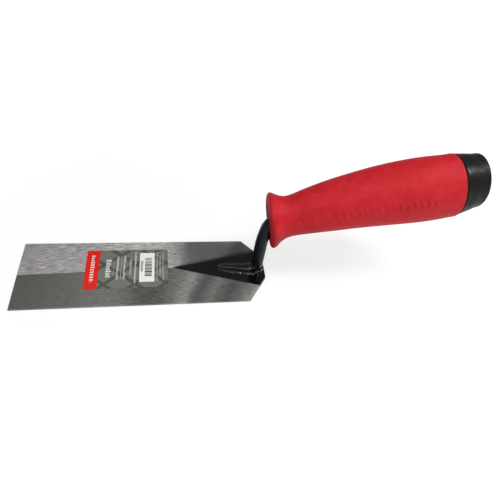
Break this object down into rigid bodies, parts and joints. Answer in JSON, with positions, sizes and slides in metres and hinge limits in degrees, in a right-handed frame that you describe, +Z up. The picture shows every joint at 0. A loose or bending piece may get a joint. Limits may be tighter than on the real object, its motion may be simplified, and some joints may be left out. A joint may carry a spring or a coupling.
{
  "type": "brick trowel",
  "caption": "Narrow rectangular steel trowel: flat ground blade with a black V at the rear, welded round cranked shank and flared soft grip with a hard butt cap.",
  "frame": {"origin": "middle of the blade's flat underside", "axes": "+X from the blade toward the handle butt, +Z up away from the working face, Y across the blade"},
  "size_m": [0.2732, 0.0508, 0.0954],
  "materials": {
    "blade_steel": "ground lengthways, satin",
    "black_lacquer": "glossy black lacquer",
    "shank_paint": "semi-gloss black paint on steel rod",
    "weld_paint": "glossy black paint over rippled weld",
    "core_plastic": "moulded, matt",
    "red_grip": "satin soft overmould",
    "cap_plastic": "moulded, satin",
    "label_film": "printed film, semi-matt"
  },
  "bodies": {
    "root": {"blade": "blade_steel", "blade_lacquer": "black_lacquer", "shank": "shank_paint", "weld_left": "weld_paint", "weld_right": "weld_paint", "weld_heel": "weld_paint", "handle_core": "core_plastic", "grip_sleeve": "red_grip", "end_cap": "cap_plastic", "size_label": "label_film"}
  },
  "joints": []
}
